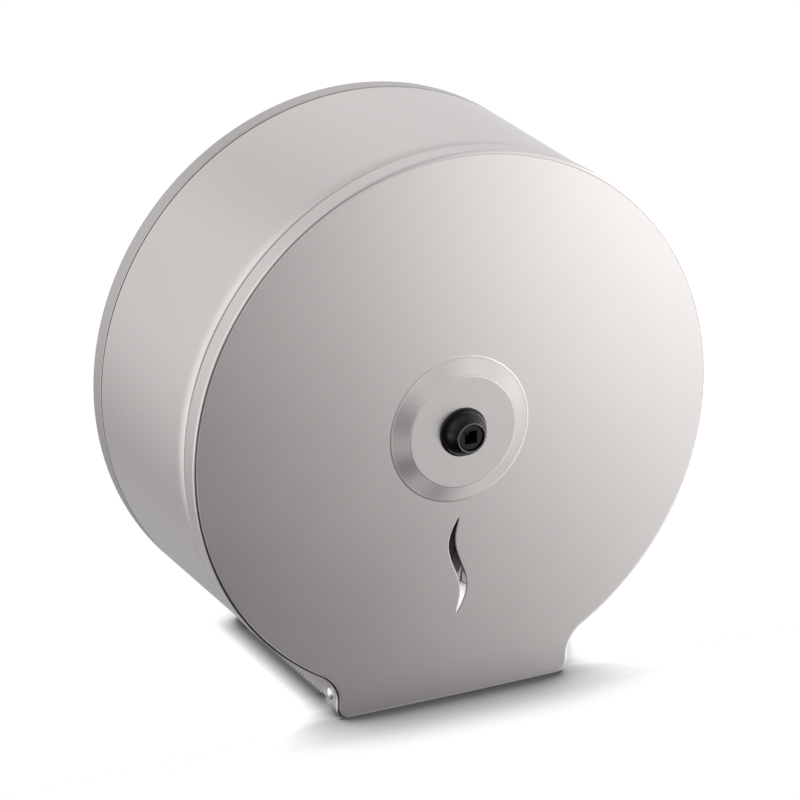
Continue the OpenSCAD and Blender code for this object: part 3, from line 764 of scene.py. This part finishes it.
def lock_black(name, roughness, worn_from):
    """Black lacquered metal with a slight orange peel, its foremost edge worn to bare grey."""
    material = moulded(name, (0.003, 0.003, 0.003), roughness, 420.0, 0.003)
    tree, shader = material.node_tree, material.node_tree.nodes["Principled BSDF"]
    shader.inputs["Specular IOR Level"].default_value = 0.35
    parts = tree.nodes.new("ShaderNodeSeparateXYZ")
    tree.links.new(tree.nodes.new("ShaderNodeTexCoord").outputs["Object"], parts.inputs[0])
    worn = tree.nodes.new("ShaderNodeMapRange")
    tree.links.new(parts.outputs["Y"], worn.inputs["Value"])
    worn.inputs["From Min"].default_value = -worn_from * MM
    worn.inputs["From Max"].default_value = -(worn_from + 0.15) * MM
    tree.links.new(worn.outputs["Result"], shader.inputs["Metallic"])
    black = shader.inputs["Base Color"].links[0].from_socket
    mix = tree.nodes.new("ShaderNodeMix")
    mix.data_type = "RGBA"
    tree.links.new(worn.outputs["Result"], mix.inputs["Factor"])
    tree.links.new(black, mix.inputs["A"])
    mix.inputs["B"].default_value = (0.16, 0.16, 0.16, 1)
    tree.links.new(mix.outputs["Result"], shader.inputs["Base Color"])
    return material


lock_housing.data.materials.append(lock_black("lock_cone_black", 0.2, NOSE_OUT - 0.22))
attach(lock_housing, "cover")
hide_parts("lock_housing")
finish_node("lock_washer", zinc, 0.15)
finish_node("lock_nut", zinc, 0.5)

# ---- Lock plug, coding pin, cam and screw ----
# The key turns a black plug with a square socket, whose corner holds a steel pin that only
# the right key clears. On its tail a plated cam bar, held by a screw, swings behind the keeper.

PLUG_R, SOCKET_HALF, SOCKET_DEPTH, PIN_R = 6.2, 3.15, 7.0, 1.25
PIN_X, PIN_Z = -2.55, 2.55
TAIL_R, TAIL_BACK, TAIL_FRONT, PLUG_FACETS = 2.5, 101.0, 109.0, 96
plug = Skin()


def plug_row(points, out, lean):
    return plug.row([(x, out, z) for x, z in points], lean)


def plug_ring(r, out, across, forward):
    """A turned edge of the plug, with its normals leaning across and forward by so much."""
    lean = [(x * across, forward, z * across) for x, z in polar_points(1.0, PLUG_FACETS)]
    return plug_row(polar_points(r, PLUG_FACETS), out, lean)


side = [plug_ring(*edge) for edge in (
    (TAIL_R, TAIL_BACK, 1, 0), (TAIL_R, TAIL_FRONT, 1, 0), (PLUG_R, TAIL_FRONT, 1, -0.2),
    (PLUG_R, PLUG_OUT - 0.35, 1, 0), (PLUG_R - 0.1, PLUG_OUT - 0.1, 1, 1),
    (PLUG_R - 0.35, PLUG_OUT, 0, 1))]
for lower, upper in zip(side, side[1:]):
    plug.join(lower, upper)
reach = math.sqrt(PIN_R ** 2 - (SOCKET_HALF - PIN_Z) ** 2)
turn = math.degrees(math.asin((SOCKET_HALF - PIN_Z) / PIN_R))
hole = [(x, z) for x, z, nx, nz in arc(PIN_X, PIN_Z, PIN_R, turn, 270 - turn, 20)]
hole += [(-SOCKET_HALF, PIN_Z - reach)]
s = SOCKET_HALF
corners = [(-s, PIN_Z - reach), (-s, -s), (s, -s), (s, s), (PIN_X + reach, s)]
for (ax, az), (bx, bz) in zip(corners, corners[1:]):
    hole += [(ax + (bx - ax) * k / 6, az + (bz - az) * k / 6) for k in range(1, 7)]
hole = hole[:-1]
hole_ways = []
for i, (x, z) in enumerate(hole):
    px, pz = hole[i - 1]
    qx, qz = hole[(i + 1) % len(hole)]
    hole_ways.append(Vector((qz - pz, -(qx - px))).normalized())
lip = [(x + w.x * 0.12, z + w.y * 0.12) for (x, z), w in zip(hole, hole_ways)]
lip_row = plug_row(lip, PLUG_OUT, [(0, 1, 0)] * len(hole))
edge_row = plug_row(hole, PLUG_OUT - 0.12, [(-w.x, 1, -w.y) for w in hole_ways])
wall_top = plug_row(hole, PLUG_OUT - 0.14, [(-w.x, 0, -w.y) for w in hole_ways])
wall_foot = plug_row(hole, PLUG_OUT - SOCKET_DEPTH, [(-w.x, 0, -w.y) for w in hole_ways])
floor_row = plug_row(hole, PLUG_OUT - SOCKET_DEPTH, [(0, 1, 0)] * len(hole))
for lower, upper in ((lip_row, edge_row), (edge_row, wall_top), (wall_top, wall_foot),
                     (wall_foot, floor_row)):
    plug.join(lower, upper)
plug.fill([side[-1], lip_row])
plug.fill([floor_row])
plug.faces.append(tuple(reversed(side[0])))
lock_plug = plug.solid("lock_plug_turned")
lock_plug.data.materials.append(lock_black("lock_plug_black", 0.3, PLUG_OUT + 1))
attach(lock_plug, "lock")
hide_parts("lock_plug")

dimple_r, dimple_h = 0.625, 1.0
coding_pin = turned("coding_pin_turned", [
    (0, PLUG_OUT - SOCKET_DEPTH), (PIN_R, PLUG_OUT - SOCKET_DEPTH), (PIN_R, PLUG_OUT - 0.3),
    (PIN_R - 0.12, PLUG_OUT - 0.08), (PIN_R - 0.3, PLUG_OUT), (dimple_r + 0.12, PLUG_OUT),
    (dimple_r, PLUG_OUT - 0.12), (dimple_r - 0.05, PLUG_OUT - dimple_h),
    (0, PLUG_OUT - dimple_h - 0.2)],
    centre=(PIN_X, PIN_Z), facets=40)
coding_pin.data.materials.append(plated_steel("pin_steel", (0.035, 0.035, 0.035), 0.2, 0.1))
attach(coding_pin, "lock")
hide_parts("coding_pin")
finish_node("lock_cam", zinc, 0.25)
finish_node("cam_screw", zinc, 0.2)

# ---- Floor ----
# A plain white table that the dispenser stands on, level under the neck and a step lower under
# the apron. It only shows as a soft painted shadow, tinted in from how close the metal stands.

TABLE_HALF, NECK_FLOOR, APRON_FLOOR, STEP_BACK, STEP_FRONT = 3000, -133.3, -139.4, 100, 113
SHADE_BEHIND_Y, SHADE_FRONT_Y, LIFT_FRONT_Y = -0.108, -0.135, -0.118
REACH_BEHIND, REACH_FRONT, LIFT_BEHIND, LIFT_FRONT = 0.018, 0.045, 0.06, -0.05
SHADE_FULL, SHADE_NONE, DARKEST, UNSEEN_WEIGHT = 0.48, 0.9, 0.08, 0.4


def spread(tree, value, start, end, low, high):
    node = tree.nodes.new("ShaderNodeMapRange")
    tree.links.new(value, node.inputs["Value"])
    for socket, number in zip(("From Min", "From Max", "To Min", "To Max"),
                              (start, end, low, high)):
        node.inputs[socket].default_value = number
    return node.outputs["Result"]


def table_shade(tree):
    """The table's painted shade: it darkens where metal is within reach, in metres, less in
    reflections.
    """
    parts = tree.nodes.new("ShaderNodeSeparateXYZ")
    tree.links.new(tree.nodes.new("ShaderNodeTexCoord").outputs["Object"], parts.inputs[0])
    y = parts.outputs["Y"]
    near = tree.nodes.new("ShaderNodeAmbientOcclusion")
    near.samples = 32
    tree.links.new(spread(tree, y, SHADE_FRONT_Y, SHADE_BEHIND_Y, REACH_FRONT, REACH_BEHIND),
                   near.inputs["Distance"])
    lift = spread(tree, y, LIFT_FRONT_Y, SHADE_BEHIND_Y, LIFT_FRONT, LIFT_BEHIND)
    shade = spread(tree, maths(tree, "ADD", near.outputs["AO"], lift),
                   SHADE_FULL, SHADE_NONE, DARKEST, 1.0)
    seen = tree.nodes.new("ShaderNodeLightPath").outputs["Is Camera Ray"]
    return maths(tree, "MULTIPLY_ADD", maths(tree, "SUBTRACT", shade, 1.0),
                 spread(tree, seen, 0.0, 1.0, UNSEEN_WEIGHT, 1.0), 1.0)


folds = ((-TABLE_HALF, NECK_FLOOR), (STEP_BACK, NECK_FLOOR),
         (STEP_FRONT, APRON_FLOOR), (TABLE_HALF, APRON_FLOOR))
data = bpy.data.meshes.new("table")
data.from_pydata(
    [(x * MM, -out * MM, z * MM) for out, z in folds for x in (-TABLE_HALF, TABLE_HALF)], [],
    [(2 * i, 2 * i + 1, 2 * i + 3, 2 * i + 2) for i in range(len(folds) - 1)])
piece = bpy.data.objects.new("table", data)
bpy.context.scene.collection.objects.link(piece)
material, tree, shader = new_material("table_white")
tree.nodes.remove(shader)
# The clear sheet carries only the painted shade from table_shade, no colour of its own.
clear = tree.nodes.new("ShaderNodeBsdfTransparent")
tree.links.new(table_shade(tree), clear.inputs["Color"])
tree.links.new(clear.outputs[0], tree.nodes["Material Output"].inputs["Surface"])
data.materials.append(material)

# ---- Studio light ----
# A white room for the camera and for rays that pass through. The metal mirrors twenty soft
# boxes round the room instead, given as (towards, tightness, strength).

world = bpy.data.worlds.new("studio")
bpy.context.scene.world = world
world.use_nodes = True
room = world.node_tree
room.nodes.clear()


def soft_box_group():
    """The light of one large soft source, as seen in a direction."""
    group, given, result = surface_group(
        "soft_box", [("Value", "NodeSocketFloat")],
        [("Toward", "NodeSocketVector", (0, 0, 0)), ("Centre", "NodeSocketVector", (0, 0, 1)),
         ("Tightness", "NodeSocketFloat", 3.0), ("Strength", "NodeSocketFloat", 1.0)])
    dot = group.nodes.new("ShaderNodeVectorMath")
    dot.operation = "DOT_PRODUCT"
    group.links.new(given.outputs["Toward"], dot.inputs[0])
    group.links.new(given.outputs["Centre"], dot.inputs[1])
    glow = maths(group, "EXPONENT", maths(
        group, "MULTIPLY", maths(group, "SUBTRACT", dot.outputs["Value"], 1.0),
        given.outputs["Tightness"]))
    group.links.new(maths(group, "MULTIPLY", glow, given.outputs["Strength"]),
                    result.inputs["Value"])
    return group


SOFT_BOX = soft_box_group()
toward = room.nodes.new("ShaderNodeTexCoord").outputs["Generated"]
level = 0.0
for centre, tightness, strength in (
        ((-0.09, 0.27, 0.96), 3.9, 0.81), ((-0.53, 0.68, 0.52), 24.6, 0.73),
        ((0.18, 0.97, 0.15), 8.7, 1.09), ((-0.85, 0.10, 0.51), 9.1, 1.15),
        ((0.57, -0.65, 0.51), 8.6, 1.10), ((0.87, 0.34, -0.36), 9.6, 2.42),
        ((-0.26, -0.86, -0.43), 44.5, 1.02), ((-0.07, 0.79, -0.62), 28.0, 0.44),
        ((0.59, -0.78, -0.22), 60.0, 3.00), ((0.95, -0.30, -0.01), 18.2, 0.92),
        ((-0.75, 0.66, 0.04), 14.0, 1.07), ((-0.05, -0.99, 0.14), 16.3, 1.04),
        ((-0.69, 0.54, -0.47), 15.5, 1.19), ((0.03, -0.60, -0.80), 60.0, 1.13),
        ((0.48, -0.24, -0.84), 23.1, 0.94), ((0.88, 0.13, 0.46), 5.7, 1.08),
        ((-0.99, 0.02, -0.14), 28.0, 1.42), ((0.67, -0.52, -0.53), 60.0, 1.81),
        ((0.96, 0.24, 0.16), 60.0, 4.00), ((0.35, 0.83, -0.43), 30.0, 0.25)):
    box = room.nodes.new("ShaderNodeGroup")
    box.node_tree = SOFT_BOX
    room.links.new(toward, box.inputs["Toward"])
    box.inputs["Centre"].default_value = Vector(centre).normalized()
    box.inputs["Tightness"].default_value = tightness
    box.inputs["Strength"].default_value = strength
    level = maths(room, "ADD", level, box.outputs["Value"])
path = room.nodes.new("ShaderNodeLightPath")
plain = room.nodes.new("ShaderNodeBackground")
plain.inputs["Color"].default_value = (1, 1, 1, 1)
plain.inputs["Strength"].default_value = 1.0
lit = room.nodes.new("ShaderNodeBackground")
lit.inputs["Color"].default_value = (1, 1, 1, 1)
room.links.new(level, lit.inputs["Strength"])
blend = room.nodes.new("ShaderNodeMixShader")
room.links.new(maths(room, "MAXIMUM", path.outputs["Is Camera Ray"],
                     path.outputs["Is Transmission Ray"]), blend.inputs["Fac"])
room.links.new(lit.outputs[0], blend.inputs[1])
room.links.new(plain.outputs[0], blend.inputs[2])
sky = room.nodes.new("ShaderNodeOutputWorld")
room.links.new(blend.outputs[0], sky.inputs["Surface"])

# ---- Camera ----
# A long lens from the front left and above, as the photograph was taken.

lens = bpy.data.cameras.new("camera")
lens.lens = 217.14
lens.sensor_width = 36.0
lens.clip_end = 20.0
camera = bpy.data.objects.new("camera", lens)
camera.location = (-0.97146, -1.96699, 0.85664)
camera.rotation_euler = [math.radians(a) for a in (68.0165, -0.1463, -26.9317)]
bpy.context.scene.collection.objects.link(camera)
bpy.context.scene.camera = camera
bpy.context.scene.view_settings.view_transform = "Standard"
